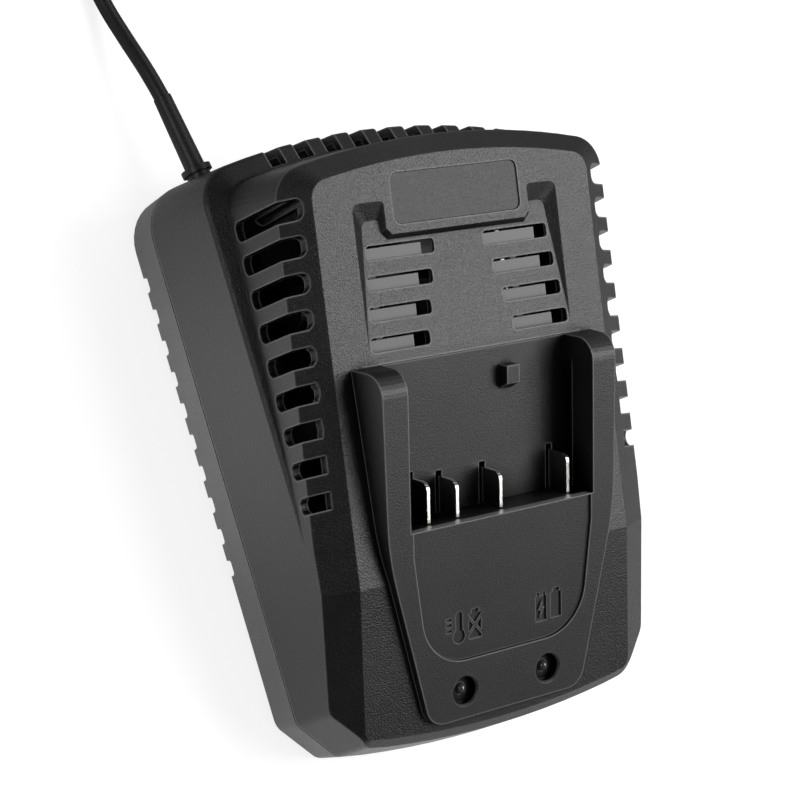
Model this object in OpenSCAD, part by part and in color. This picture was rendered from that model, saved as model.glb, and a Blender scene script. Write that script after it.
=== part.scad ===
// Mains charger for a slide-on power tool battery. A low base carries a tiered vented housing whose deck
// slopes up to the cable end. A U-shaped cradle stands on the deck and holds four upright blade contacts.
// +X is right, +Y points to the cable end, +Z is up from the surface it lies on.

/* [Housing] */
// Length of the housing along the parting line
body_len = 166; // [160:1:178]
// Half width at the parting line, halfway along
body_half = 58.3; // [57:0.1:62]
// Widening of each side towards the cable end, per mm of length
side_taper = 0.057; // [0.04:0.001:0.07]
// Height of the base shell above the feet
base_h = 12.6; // [12:0.1:15]
// Height of the lower tier's wall above the parting line
tier_h = 26.1; // [25:0.1:29]
// Lean of the lower tier's wall, mm inwards per mm of height
draft = 0.0845; // [0.04:0.0005:0.1]
// Rise of the shoulder between the tiers, mm per mm
shoulder_slope = 0.488; // [0.4:0.001:0.55]
// Rounding of the lower tier's upper edge
shoulder_r = 1.8; // [0.8:0.1:2.4]
// Radius of the bowed cable end
cable_end_r = 222; // [200:1:260]
// Radius of the bowed front end
front_end_r = 290; // [260:1:340]
// Corner radius at the cable end, at the parting line
corner_r = 13.5; // [10:0.5:15]
// Leg of the cut front corners
front_cut = 9.4; // [7:0.1:11]
// Wall thickness of both shells
wall = 2.5; // [2:0.1:3]
// Half width of the upper tier, halfway along, where it meets the shoulder
tier2_half = 54.8; // [54:0.1:56]
// Setback of the upper tier from the cable end
tier2_setback = 7.3; // [6:0.1:9]
// Lean of the upper tier's sides
tier2_draft = 0.105; // [0.08:0.005:0.13]
// Lean of the upper tier's cable end
tier2_end_draft = 0.18; // [0.12:0.01:0.24]

/* [Deck] */
// Distance of the crease between deck and lower face in front of the middle
crease_back = 39.2; // [36:0.1:42]
// Height of the crease above the shoulder's edge
crease_rise = 3.95; // [3:0.05:5]
// Slope of the deck in degrees
deck_slope = 12.54; // [11:0.1:14]
// Slope of the lower face in degrees
face_slope = 21.4; // [20:0.1:23]
// Half width of the deck between its chamfers
deck_half = 44.7; // [44:0.1:46]
// Setback of the deck's edge from the cable end
deck_setback = 17.4; // [16:0.1:19]
// Setback of the lower face's edge from the front end
face_setback = 2.9; // [2:0.1:4]
// Slope of the side chamfers against the deck
chamfer_slope = 0.46; // [0.4:0.01:0.52]
// Slope of the deck's chamfer at the cable end
end_chamfer_slope = 0.71; // [0.6:0.01:0.8]
// Slope of the lower face's chamfer at the front end
front_chamfer_slope = 0.63; // [0.5:0.01:0.8]

/* [Vents] */
// Number of slots in each side of the upper tier
side_slots = 9; // [5:1:10]
// Spacing of the side slots
side_slot_pitch = 8.92; // [8.5:0.01:9.4]
// Width of the widest side slot
side_slot_w = 5.25; // [4.6:0.05:5.6]
// Each next side slot is narrower by this much
side_slot_narrowing = 0.13; // [0.05:0.01:0.16]
// Number of notches in each lower edge of the base
base_notches = 10; // [6:1:10]
// Spacing of the base notches
base_notch_pitch = 8.72; // [8.4:0.01:9.2]
// Length of a base notch
base_notch_w = 4.2; // [3.6:0.1:4.8]
// Height of a base notch
base_notch_h = 3; // [2.4:0.1:3.6]
// Number of notches in the shoulder at the cable end
comb_notches = 9; // [5:2:9]
// Spacing of the shoulder's notches
comb_pitch = 9.1; // [8.8:0.05:9.4]
// Width of a shoulder notch
comb_w = 4.7; // [4:0.1:5.2]
// Depth of a shoulder notch below the shoulder's edge
comb_depth = 9; // [6:0.5:11]
// Spacing of the deck slots
deck_slot_pitch = 7.75; // [7.4:0.05:8.2]
// Width of a deck slot
deck_slot_w = 3.75; // [3.2:0.05:4.2]
// Depth of the sunken vent panel at the last slot
panel_sink = 1.6; // [1.2:0.1:1.7]
// Gap beside each light bar, at the upper edge of its slot
bar_gap = 0.7; // [0.5:0.1:1]
// Length by which each light bar stops short of its slot's right end
bar_short = 3.5; // [2.5:0.1:4.5]

/* [Cradle] */
// Distance of the cradle's lip behind the crease
lip_ahead = 10.9; // [9:0.1:12]
// Height of the cradle's top above the crease
cradle_rise = 2.84; // [2.4:0.05:3.4]
// Slope of the cradle in degrees
slide_slope = 22.03; // [21:0.1:23]
// Half width of the battery bay between the arms
bay_half = 30.4; // [30:0.1:31]
// Depth of the battery bay
bay_depth = 12; // [11.5:0.1:12.5]
// Thickness of an arm at its free end
arm_w = 8; // [7.5:0.1:9]
// Length of the arms from the lip
arm_len = 41.9; // [40:0.1:44]
// Rounding of the arms' free ends
arm_r = 6; // [4:0.5:7]
// Height of the rail groove in each arm
rail_h = 3.3; // [2.8:0.1:3.6]
// Depth of the rail groove in each arm
rail_in = 2.8; // [2:0.1:3]
// Sinking of the indicator panel in the cradle's top
panel_recess = 0.8; // [0.6:0.1:1.2]
// Distance of each light from the middle
led_x = 13.95; // [12:0.05:16]
// Diameter of each light
led_d = 3; // [2.8:0.1:3.2]
// Diameter of the well around each light
led_well_d = 7.6; // [6.6:0.1:8]

/* [Contacts] */
// Thickness of a contact blade
blade_t = 1; // [0.8:0.1:1.2]
// Height of a blade above the bay's floor
blade_h = 8; // [7:0.1:9]
// Length of a blade along the bay
blade_len = 11; // [9:0.1:12]

/* [Cord] */
// Diameter of the mains cord
cord_d = 4.4; // [4.2:0.1:4.8]
// Length of the tapered sleeve outside the wall
sleeve_len = 24; // [20:1:24]

/* [Hidden] */
$fn = 48;
far = 200;
clear = 0.1;
foot_h = 2;
foot_r = 5;
foot_seat = 0.6;
half_len = body_len / 2;
part_z = foot_h + base_h;
shoulder_z = part_z + tier_h;
corner_taper = 0.096;
tier2_taper = 0.008;
tier2_z = shoulder_z + 0.3;
tier2_under = 6;
tier2_over = 42;
tier2_r = 9;
crease_y = -crease_back;
deck_z = shoulder_z + crease_rise;
deck_edge = (half_len + crease_back - deck_setback) / cos(deck_slope);
face_edge = (half_len - crease_back - face_setback) / cos(face_slope);
deck_corner_r = 5;
face_corner_r = 3;
deck_end_r = 219;
face_end_r = 260;
lip_y = crease_y + lip_ahead;
lip_z = deck_z + cradle_rise + lip_ahead * tan(slide_slope);
base_lean = 0.55;
floor_z = foot_h + wall;
rim_h = 1.5;
seam_h = 0.5;
seam_in = 0.9;
rim_t = 1.1;

// keyholes for hanging the charger on two screws
keyhole_x = 27;
keyhole_y = 32;
keyhole_r = 4.5;
keyhole_slot = 2.3;
keyhole_run = 9;

// bottom vents and the blank plate on the bottom
floor_slots = 7;
floor_slot_y = -58;
floor_slot_pitch = 5;
floor_slot_half = 24;
floor_slot_w = 2.2;
rating_half = 24;
rating_y = -14;
rating_len = 30;

// screws that join the shells, and the bosses around them
boss_x = 46;
boss_y = [-crease_back - 15.8, half_len - 23];
boss_r = 4;
boss_wall_r = 3.4;
screw_r = 1.5;
screw_head_r = 3;
screw_sink = 5;
screw_in = 14;

// slots in the sides
side_slot_y = half_len - 27.1;
side_slot_z = 44.1 - 40.7 + shoulder_z;
side_slot_drop = 0.26;
side_slot_in = 46.95;
side_slot_step = 0.28;
base_notch_y = half_len - 29.2;
base_notch_in = 3.4;

// sunken panel on the deck with two groups of slots
vent_y = crease_y + 56.7;
vent_half = 33.2;
vent_top = half_len - 27.9;
vent_mid = half_len - 36.4;
vent_slope = deck_slope - atan(panel_sink / 29);
vent_z = deck_z + (vent_y - crease_y) * tan(deck_slope);
horn_in = 23.3;
vent_side = 3.6;
vent_lip = 0.9;
ear_slant = 4.2;
slot_rows = 4;
slot_first = 2.45;
slot_inner = 13.7;
slot_outer = 32.3;
slot_inner_step = 1.88;
slot_outer_step = 0.93;
bar_h = 1.6;
bar_lap = 0.9;
rail_w = 2;
rail_d = 2.4;
rail_at = 4.5;

// blank plate in a shallow bed at the top of the deck
plate_half = 20.6;
plate_top = half_len - 21;
plate_len = 13.2;
plate_sink = 0.8;
plate_t = 0.4;
plate_r = 2;

// cradle
cradle_draft = 0.093;
cradle_top = bay_half + arm_w;
cradle_bend = [cradle_top - 0.9, -5.2];
cradle_corner = [25.5, -53.4];
seat_w = 3.4;
seat_half = cradle_top - 2.9;
tub_floor = 2.5;
tub_z = bay_depth + tub_floor;
apron = 6;
apron_wall = 2.5;
led_s = -45.85;
led_sink = 1;
led_well = 2.7;
led_hole_r = led_d / 2 + clear;
panel_t = 1.4;
skin_t = 1.6;
symbol_depth = 0.6;
panel_pts = [[29.5, -0.3], [29.5, -7], [25.6, -37.3]];
panel_r = 14;
key_x = 8.3;
key_w = 4.1;
key_s = 29.8;
key_len = 6.8;
key_h = 3.3;

// contacts, and the block that holds them
contact_x = [-21.8, -12.5, 1.9, 24.8];
contact_cut = [0, 1.1, 1.1, 0];
blade_r = 2.3;
holder_h = 6;
leg_w = 3;
leg_y = lip_y + 11;

// circuit board and what stands on it
pcb_z = foot_h + 7;
pcb_t = 1.6;
pcb_half = 41;
pcb_back = 72;
pcb_front = 60;
pcb_top = pcb_z + pcb_t;
post_x = 35;
post_y = [-52, 50];
seat = 0.05;
led_leg_y = lip_y + led_s * cos(slide_slope) + (panel_recess + panel_t + skin_t + 1 + seat) * sin(slide_slope) + 1.6;
trafo_x = 2;
trafo_y = 30;
choke_at = [-29, 37, 10.9];

// mains cord: wall point, direction, route to the coil and route from the coil to the plug
cord_r = cord_d / 2;
cord_wall = [-43.5, 78.7, 14.6];
cord_to = [-4, 22.3, -2];
cord_neck_r = 3.3;
cord_hole_r = cord_r + 0.05;
sleeve_r0 = 2.85;
sleeve_r1 = 2.5;
neck_in = 4.2;
clamp_x = -42;
clamp_y = half_len - 13.4;
clamp_gap = 7;
cord_route = [
    [-41.0, 64.6, 15.9], [-42.2, 71.4, 15.3], [-43.5, 78.7, 14.6], [-45.5, 89.9, 13.6], [-47.5, 101, 12.6],
    [-49.4, 111, 10.4], [-51.2, 121, 7.0], [-53.0, 131, 4.0], [-54.8, 141, 2.6], [-56.6, 151, 2.3],
    [-58.0, 160, 2.3]
];
coil_at = [-24, 174];
coil_in = 15.3;
coil_out = 37.5;
coil_h = 9.1;
tail_route = [[-13, 208, 6.2], [-6, 209, 6.4], [2, 209, 6.8], [10, 209, 7]];
plug_at = [10, 209, 7];
plug_len = 36;
plug_w = 32;
plug_h = 13.9;
pin_gap = 18.6;
pin_len = 19;
pin_r = 2;

// ---------- curves and solids shared by several pieces ----------

// the +Y crossing of the line x = a + k*y with the circle of radius r about (0, c)
function hit(a, k, c, r, way = 1) =
    let (m = a * k - c, q = 1 + k * k)
    (way * sqrt(m * m - q * (c * c + a * a - r * r)) - m) / q;

// points of an arc about a centre
function arc(centre, r, a0, a1, n) =
    [for (i = [0:n]) centre + r * [cos(a0 + (a1 - a0) * i / n), sin(a0 + (a1 - a0) * i / n)]];

// the corner b between a and c, rounded by r
function rounded(a, b, c, r, n = 6) =
    let (
        u = (a - b) / norm(a - b),
        v = (c - b) / norm(c - b),
        half = acos(u * v) / 2,
        m = (u + v) / norm(u + v),
        centre = b + m * r / sin(half),
        p = b + u * r / tan(half) - centre,
        q = b + v * r / tan(half) - centre,
        a0 = atan2(p[1], p[0]),
        turn = atan2(p[0] * q[1] - p[1] * q[0], p * q)
    )
    arc(centre, r, a0, a0 + turn, n);

// right half of the bowed cable end: corner arc, then the end's arc up to the middle
function cable_side(a, k, y_end, r_end, r_corner) =
    let (
        c = y_end - r_end,
        ao = a - r_corner * sqrt(1 + k * k),
        cy = hit(ao, k, c, r_end - r_corner),
        cx = ao + k * cy,
        a1 = atan2(cy - c, cx)
    )
    concat(
        arc([cx, cy], r_corner, -atan(k), a1, 8),
        [for (i = [1:7]) [0, c] + r_end * [cos(a1 + (90 - a1) * i / 8), sin(a1 + (90 - a1) * i / 8)]]
    );

// right half of the bowed front end with its cut corner
function front_side(a, k, y_end, r_end, cut, r_corner) =
    let (
        c = y_end + r_end,
        fy = hit(a, k, c, r_end, -1),
        fx = a + k * fy,
        p = [fx - cut, c - sqrt(r_end * r_end - pow(fx - cut, 2))],
        q = [fx + k * cut, fy + cut]
    )
    concat(
        [for (i = [1:5]) [(fx - cut) * i / 6, c - sqrt(r_end * r_end - pow((fx - cut) * i / 6, 2))]],
        rounded([0, y_end], p, q, r_corner, 4),
        rounded(p, q, [a, 0], r_corner, 4)
    );

// right half and its mirror image as one loop, from the front middle round to the right
function loop(front, right, back) =
    concat([[0, front]], right, [[0, back]], [for (i = [len(right) - 1:-1:0]) [-right[i][0], right[i][1]]]);

// outline of the housing's lower tier at height h above the parting line, moved inwards by o
function tier_loop(h, o) =
    let (i = draft * h + o, a = body_half - i, r = max(corner_r - corner_taper * h - o, 1))
    loop(
        i - half_len,
        concat(
            front_side(a, side_taper, i - half_len, front_end_r - i, front_cut, 4.5),
            cable_side(a, side_taper, half_len - i, cable_end_r - i, r)
        ),
        half_len - i
    );

// outline of the upper tier at height h above its foot, moved inwards by o; its front lies past the housing
function tier2_loop(h, o) =
    let (a = tier2_half - tier2_draft * h - o, y = half_len - tier2_setback - tier2_end_draft * h - o)
    loop(
        -half_len - 10,
        concat([[a - tier2_taper * half_len, -half_len - 10]], cable_side(a, tier2_taper, y, 220 - o, tier2_r - o)),
        y
    );

function raised(pts, z) = [for (p = pts) [p[0], p[1], z]];
function tilted(pts, z, slope) = [for (p = pts) [p[0], p[1], z + p[1] * slope]];

// closed solid through loops of as many points, each loop flat
module loft(rings) {
    n = len(rings[0]);
    last = (len(rings) - 1) * n;
    sides = [
        for (k = [0:len(rings) - 2])
            for (i = [0:n - 1])
                let (a = k * n + i, b = k * n + (i + 1) % n)
                each [[a, a + n, b + n], [a, b + n, b]]
    ];
    floor_face = [[for (i = [0:n - 1]) i]];
    roof_face = [[for (i = [n - 1:-1:0]) last + i]];
    points = [for (ring = rings) each ring];
    polyhedron(points = points, faces = concat(floor_face, sides, roof_face), convexity = 10);
}

module below() {
    translate([-far, -far, -2 * far]) cube([2 * far, 2 * far, 2 * far]);
}

module deck_frame() {
    translate([0, crease_y, deck_z]) rotate([deck_slope, 0, 0]) children();
}

module face_frame() {
    translate([0, crease_y, deck_z]) rotate([face_slope, 0, 0]) children();
}

// frame of the cradle: Y runs up the slide from the lip, Z stands square on it
module slide_frame() {
    translate([0, lip_y, lip_z]) rotate([slide_slope, 0, 0]) children();
}

// the inside of the deck under the slots, with the slots' own Y
module vent_under() {
    deck_frame() translate([0, (vent_y - crease_y) / cos(deck_slope), -wall]) children();
}

module vent_frame() {
    translate([0, vent_y, vent_z]) rotate([vent_slope, 0, 0]) children();
}

module both_sides() {
    children();
    mirror([1, 0, 0]) children();
}

// a flat plate outline with round corners
module round_rect(x0, x1, y0, y1, r) {
    c = [[x0, y0], [x1, y0], [x1, y1], [x0, y1]];
    polygon([for (k = [0:3]) each rounded(c[(k + 3) % 4], c[k], c[(k + 1) % 4], r, 3)]);
}

// tube swept along a route of points
module tube(route, r, sides) {
    last = len(route) - 1;
    rings = [
        for (i = [0:last])
            let (
                d = route[min(i + 1, last)] - route[max(i - 1, 0)],
                t = d / norm(d),
                u = cross([0, 0, 1], t) / norm(cross([0, 0, 1], t)),
                v = cross(t, u)
            )
            [for (j = [0:sides - 1]) route[i] + r * (cos(360 * j / sides) * u + sin(360 * j / sides) * v)]
    ];
    loft(rings);
}

// ---------- housing ----------

// sloping cap of the housing: flat top, chamfers falling away at the sides and at one end
module cap(o, half, edge, r_end, r_corner, m_side, m_end) {
    drop = 30;
    a = half - o * (sqrt(1 + m_side * m_side) - 1) / m_side;
    e = edge - o * (sqrt(1 + m_end * m_end) - 1) / m_end;
    wide = drop / m_side;
    long = drop / m_end;
    top = loop(-far, concat([[a, -far]], cable_side(a, 0, e, r_end, r_corner)), e);
    skirt = loop(
        -far,
        concat([[a + wide, -far]], cable_side(a + wide, 0, e + long, r_end + long, r_corner + long)),
        e + long
    );
    loft([raised(skirt, -far), raised(skirt, -o - drop), raised(top, -o)]);
}

module deck_cap(o) {
    deck_frame() cap(o, deck_half, deck_edge, deck_end_r, deck_corner_r, chamfer_slope, end_chamfer_slope);
}

module face_cap(o) {
    face_frame() mirror([0, 1, 0])
        cap(o, deck_half, face_edge, face_end_r, face_corner_r, chamfer_slope, front_chamfer_slope);
}

// cap over the lower tier: its sloping shoulder, whose edge is rounded on the outside; o moves it inwards
module shoulder_cap(o) {
    m = shoulder_slope;
    z1 = tier_h - o * (sqrt(1 + m * m) - m) / (1 - draft * m);
    // inset against height, from outside the wall, round the edge and in along the shoulder
    top = [draft * z1 + 9, z1 + 9 * m];
    edge = rounded([0, 0], [draft * z1, z1], top, shoulder_r, 4);
    step = edge[2] - edge[1];
    steep = edge[1] - step * (edge[1][0] + 2) / step[0];
    flat = [-2, top[1] - (top[0] + 2) * m];
    profile = o > 0 ? [flat, top] : concat([steep], [for (i = [1:4]) edge[i]], [top]);
    loft(concat(
        [raised(tier_loop(0, o - 2), -far)],
        [for (p = profile) raised(tier_loop(0, o + p[0]), part_z + p[1])]
    ));
}

// wall of the lower tier, carried straight up
module tier_column(o, low) {
    loft([raised(tier_loop(low, o), part_z + low), raised(tier_loop(60, o), part_z + 60)]);
}

module upper_tier(o) {
    loft([raised(tier2_loop(-tier2_under, o), tier2_z - tier2_under),
        raised(tier2_loop(tier2_over, o), tier2_z + tier2_over)]);
}

// whole housing above the parting line
module housing(o, low = 0) {
    intersection() {
        union() {
            intersection() {
                tier_column(o, low);
                shoulder_cap(o);
            }
            intersection() {
                tier_column(o, low);
                upper_tier(o);
            }
        }
        deck_cap(o);
        face_cap(o);
    }
}

// one slot of a side wall: open through the wall and over its upper edge, round at both ends
module side_slot(i) {
    w = side_slot_w - i * side_slot_narrowing;
    y = side_slot_y - i * side_slot_pitch;
    z = side_slot_z - i * side_slot_drop;
    x = side_slot_in + i * side_slot_step;
    r = 1.9;
    reach = 12;
    inner = tier2_half - wall - 3.5;
    translate([inner, y - w / 2, z + r]) cube([reach, w, 60]);
    translate([inner, y - w / 2 + r, z]) cube([reach, w - 2 * r, r + 1]);
    for (s = [-1, 1])
        translate([inner, y + s * (w / 2 - r), z + r]) rotate([0, 90, 0]) cylinder(h = reach, r = r);
    translate([x + r, y - w / 2, z + 1]) cube([reach, w, 60]);
    translate([x, y - w / 2 + r, z + 1]) cube([r + 1, w - 2 * r, 60]);
    for (s = [-1, 1])
        translate([x + r, y + s * (w / 2 - r), z + 1]) cylinder(h = 60, r = r);
}

// notches that open the shoulder at the cable end
module comb_cut() {
    difference() {
        for (i = [0:comb_notches - 1])
            translate([(i - (comb_notches - 1) / 2) * comb_pitch - comb_w / 2, half_len - 20, shoulder_z - comb_depth])
                cube([comb_w, 30, comb_depth + 10]);
        upper_tier(-0.4);
    }
}

// half outline of the sunken panel, from the middle of its side round the horn to the strip under the plate
function vent_edge(p) = concat(rounded(p[0], p[1], p[2], 2, 4), rounded(p[1], p[2], p[3], 1.2, 4), [p[3], p[4]]);

// sunken panel with horns beside the name plate. Its side walls slant inwards from the deck, and are carried
// on past the deck, below the panel's floor and in front of its hinge line, so that flat faces cut them off.
module vent_sink() {
    m = tan(vent_slope);
    k = tan(deck_slope);
    ahead = 5;
    upper = [[vent_half, vent_y], [vent_half, vent_top], [horn_in, vent_top], [horn_in, vent_mid + 1.6],
        [horn_in - 1.6, vent_mid]];
    lower = [[vent_half, vent_y], [vent_half - vent_side, vent_top - ear_slant],
        [horn_in + vent_lip, vent_top - ear_slant], [horn_in + vent_lip, vent_mid + 1],
        [horn_in - 1, vent_mid - vent_lip]];
    on_deck = tilted(concat([[vent_half, vent_y - ahead]], vent_edge(upper)), vent_z - vent_y * k, k);
    on_floor = tilted(vent_edge(lower), vent_z - vent_y * m, m);
    // how far each point of the deck lies above the panel's floor
    rise = [for (q = on_deck) (q[1] - vent_y) * (k - m)];
    deepest = (vent_top - vent_y) * (k - m);
    slant = [-vent_side, -ear_slant, -deepest - ear_slant * m];
    // the walls at one height above the panel's floor
    function ring(height) = both_halves(concat(
        [on_deck[0] + slant * (rise[0] - height) / deepest],
        [for (i = [1:len(on_deck) - 1]) on_deck[i] + (on_floor[i - 1] - on_deck[i]) * (1 - height / rise[i])]
    ));
    intersection() {
        loft([ring(-1), ring(deepest + 1)]);
        vent_frame() translate([-vent_half - 10, -2 * ahead, 0]) cube([2 * vent_half + 20, 60, 20]);
    }
}

// points of a right half and their mirror images as one loop
function both_halves(right) =
    concat(right, [for (i = [len(right) - 1:-1:0]) [-right[i][0], right[i][1], right[i][2]]]);

module deck_slots(grow, low, high) {
    for (i = [0:slot_rows - 1]) {
        y = slot_first + i * deck_slot_pitch;
        inner = slot_inner - i * slot_inner_step;
        outer = slot_outer - i * slot_outer_step;
        both_sides() translate([0, 0, low]) linear_extrude(high - low)
            round_rect(inner - grow, outer + grow, y - deck_slot_w / 2 - grow, y + deck_slot_w / 2 + grow, 1);
    }
}

module boss_places() {
    for (x = [-boss_x, boss_x])
        for (y = boss_y)
            translate([x, y, 0]) children();
}

module cord_axis() {
    translate(cord_wall)
        rotate([0, acos(cord_to[2] / norm(cord_to)), atan2(cord_to[1], cord_to[0])]) children();
}

module upper_shell() color([0.06, 0.06, 0.065]) difference() {
    union() {
        difference() {
            housing(0);
            housing(wall, -1);
        }
        intersection() {
            boss_places() translate([0, 0, part_z + clear]) cylinder(h = far, r = boss_wall_r);
            deck_frame() translate([0, 0, -wall - 0.5]) below();
            face_frame() translate([0, 0, -wall - 0.5]) below();
        }
    }
    boss_places() translate([0, 0, part_z - 1]) cylinder(h = screw_in + 2, r = screw_r + seat);
    for (i = [0:side_slots - 1]) both_sides() side_slot(i);
    comb_cut();
    vent_sink();
    vent_frame() deck_slots(0, -12, 6);
    deck_frame() translate([0, (plate_top - plate_len - crease_y) / cos(deck_slope), -plate_sink])
        linear_extrude(5) round_rect(-plate_half, plate_half, 0, plate_len, plate_r);
    slide_frame() translate([0, 0, -24]) linear_extrude(29) seat_outline(clear, arm_len);
    cord_axis() translate([0, 0, -10]) cylinder(h = 20, r = cord_neck_r + clear);
}

// outline of the base at height z, moved inwards by o
function base_loop(z, o) =
    let (lean = base_lean * (part_z - z) / base_h)
    tier_loop(0, lean + o);

module base_notch_cut() {
    r = 1;
    for (i = [0:base_notches - 1]) {
        y = base_notch_y - i * base_notch_pitch;
        x = body_half + side_taper * y - base_lean - base_notch_in;
        translate([x, y - base_notch_w / 2, foot_h - 1]) cube([12, base_notch_w, base_notch_h + 1 - r]);
        translate([x, y - base_notch_w / 2 + r, foot_h]) cube([12, base_notch_w - 2 * r, base_notch_h]);
        for (s = [-1, 1])
            translate([x, y + s * (base_notch_w / 2 - r), foot_h + base_notch_h - r])
                rotate([0, 90, 0]) cylinder(h = 12, r = r);
    }
}

module foot_places() {
    for (x = [-1, 1]) {
        translate([x * (body_half - 19), -half_len + 15, 0]) children();
        translate([x * (body_half - 13), half_len - 13.5, 0]) children();
    }
}

module base_shell() color([0.07, 0.07, 0.075]) difference() {
    union() {
        difference() {
            loft([
                raised(base_loop(foot_h, 1.2), foot_h), raised(base_loop(foot_h + 0.35, 0.35), foot_h + 0.35),
                raised(base_loop(foot_h + 1.2, 0), foot_h + 1.2), raised(base_loop(part_z, 0), part_z - seam_h),
                raised(base_loop(part_z, seam_in), part_z - seam_h + 0.001),
                raised(base_loop(part_z, seam_in), part_z - seat)
            ]);
            loft([
                raised(base_loop(floor_z, wall), floor_z), raised(base_loop(part_z, wall), part_z + 1)
            ]);
        }
        // rim that stands up inside the upper shell
        difference() {
            loft([
                raised(base_loop(part_z, wall - 0.6), part_z - 2),
                raised(base_loop(part_z, wall - 0.6), part_z - seat),
                raised(base_loop(part_z, wall + 0.3), part_z - seat + 0.001),
                raised(base_loop(part_z, wall + 0.3), part_z + rim_h)
            ]);
            loft([
                raised(base_loop(part_z, wall + rim_t + 0.3), part_z - 3),
                raised(base_loop(part_z, wall + rim_t + 0.3), part_z + rim_h + 1)
            ]);
        }
        boss_places() translate([0, 0, foot_h + 0.5]) cylinder(h = base_h - 0.5 - seat, r = boss_r);
        for (x = [-post_x, post_x])
            for (y = post_y)
                translate([x, y, foot_h + 1]) cylinder(h = pcb_z - foot_h - 1 - seat, r = 3);
        for (s = [-1, 1])
            translate([clamp_x + s * clamp_gap, clamp_y, foot_h + 1]) cylinder(h = 14.4, r = 2.4);
        translate([clamp_x - clamp_gap, clamp_y - 2.4, foot_h + 1]) cube([2 * clamp_gap, 4.8, 9.6]);
    }
    boss_places() {
        translate([0, 0, -1]) cylinder(h = foot_h + screw_sink + 1, r = screw_head_r + 0.3);
        cylinder(h = part_z + 1, r = screw_r + seat);
    }
    for (x = [-post_x, post_x])
        for (y = post_y)
            translate([x, y, floor_z]) cylinder(h = 10, r = 1.25);
    for (s = [-1, 1])
        translate([clamp_x + s * clamp_gap, clamp_y, floor_z + 4]) cylinder(h = 14, r = 1.05);
    foot_places() cylinder(h = foot_h + foot_seat, r = foot_r + clear);
    both_sides() base_notch_cut();
    for (x = [-keyhole_x, keyhole_x]) translate([x, keyhole_y, -1]) {
        cylinder(h = floor_z + 2, r = keyhole_r);
        translate([-keyhole_slot, 0, 0]) cube([2 * keyhole_slot, keyhole_run, floor_z + 2]);
        translate([0, keyhole_run, 0]) cylinder(h = floor_z + 2, r = keyhole_slot);
    }
    translate([-rating_half, rating_y, foot_h - 1]) linear_extrude(1 + plate_sink)
        round_rect(0, 2 * rating_half, 0, rating_len, plate_r);
    for (i = [0:floor_slots - 1])
        translate([-floor_slot_half, floor_slot_y + i * floor_slot_pitch, foot_h - 1]) linear_extrude(wall + 2)
            round_rect(0, 2 * floor_slot_half, 0, floor_slot_w, 1);
    cord_axis() translate([0, 0, -10]) cylinder(h = 20, r = cord_neck_r + clear);
}

module rating_plate() color([0.55, 0.55, 0.56])
    translate([-rating_half, rating_y, foot_h + plate_sink - plate_t]) linear_extrude(plate_t)
        round_rect(clear, 2 * rating_half - clear, clear, rating_len - clear, plate_r);

module rubber_feet() color([0.03, 0.03, 0.03]) foot_places() {
    cylinder(h = foot_h + foot_seat, r = foot_r);
}

module name_plate() color([0.2, 0.2, 0.21])
    deck_frame() translate([0, (plate_top - plate_len - crease_y) / cos(deck_slope), -plate_sink])
        linear_extrude(plate_t)
            round_rect(clear - plate_half, plate_half - clear, clear, plate_len - clear, plate_r);

module housing_screws() color([0.6, 0.6, 0.62]) boss_places() {
    translate([0, 0, foot_h + screw_sink - 2.2]) difference() {
        cylinder(h = 2.2, r = screw_head_r);
        for (a = [0, 90]) rotate(a) translate([-1.8, -0.4, -1]) cube([3.6, 0.8, 2]);
    }
    translate([0, 0, foot_h + screw_sink]) cylinder(h = base_h - screw_sink + screw_in - 2, r = screw_r);
}

// ---------- cradle and what it carries ----------

// outline of the cradle at level z of the slide frame
function cradle_loop(z) =
    let (
        o = z * cradle_draft,
        a = [cradle_top - o, arm_len],
        b = cradle_bend - [o, 0],
        c = cradle_corner - [o, -o]
    )
    loop(c[1], concat(rounded([0, c[1]], c, b, 6 - o, 8), rounded(c, b, a, 80, 8), [a]), arm_len);

module cradle_block() {
    loft([raised(cradle_loop(-24), -24), raised(cradle_loop(0), 0)]);
}

// side groove for the battery's rail: straight, then curving back into the arm
module rail_groove() {
    run = 23;
    out = 36.5;
    depth = rail_in;
    curve = [for (i = [0:8]) [bay_half + depth * (1 + cos(180 * i / 8)) / 2, run + (out - run) * i / 8]];
    translate([0, 0, -bay_depth]) linear_extrude(rail_h)
        polygon(concat([[bay_half - 1, 0], [bay_half + depth, 0]], curve, [[bay_half - 1, out]]));
}

module panel_outline(grow) {
    p = [for (q = panel_pts) q + [grow, 0]];
    low = panel_pts[2][1] - grow;
    corner = [p[2][0], low];
    right = concat(rounded([0, low], corner, p[1], panel_r, 10), [p[1], p[0]]);
    polygon(loop(low, right, p[0][1]));
}

// outline of the part of the cradle that stands inside the housing, moved outwards by grow
module seat_outline(grow, end) {
    p = cradle_corner + [grow - seat_w, seat_w - grow];
    bend = [seat_half + grow, cradle_bend[1]];
    polygon(loop(p[1], concat(rounded([0, p[1]], p, bend, 4, 4), [bend, [bend[0], end]]), end));
}

// apron all round, and the bay's deeper tub
module cradle_seat() {
    translate([0, 0, -apron]) linear_extrude(apron - 0.4) seat_outline(0, arm_len - 0.2);
    translate([-seat_half, -tub_floor, -tub_z]) cube([2 * seat_half, arm_len + tub_floor - 0.2, tub_z - 0.4]);
}

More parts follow.
